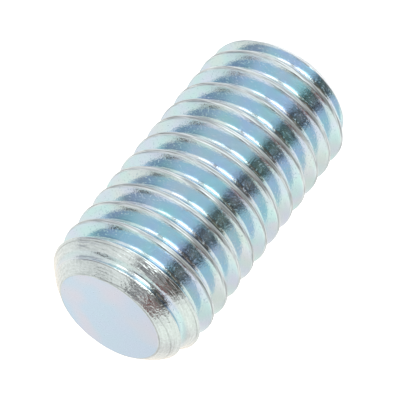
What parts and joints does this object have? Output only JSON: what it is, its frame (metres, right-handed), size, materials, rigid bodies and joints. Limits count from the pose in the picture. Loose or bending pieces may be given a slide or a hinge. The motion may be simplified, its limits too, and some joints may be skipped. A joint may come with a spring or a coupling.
{
  "type": "hexagon socket set screw",
  "caption": "Zinc plated M10 x 20 grub screw with a hexagon socket at one end and a chamfered flat point at the other.",
  "frame": {"origin": "centre of the socket end face, where the screw stands", "axes": "+Z along the screw's axis, from the socket end to the flat point"},
  "size_m": [0.0098, 0.0098, 0.0199],
  "materials": {
    "zinc_steel": "bright zinc plating with a blue tint, finely scratched along the turning and rolling marks"
  },
  "bodies": {
    "root": {"set_screw": "zinc_steel"}
  },
  "joints": []
}
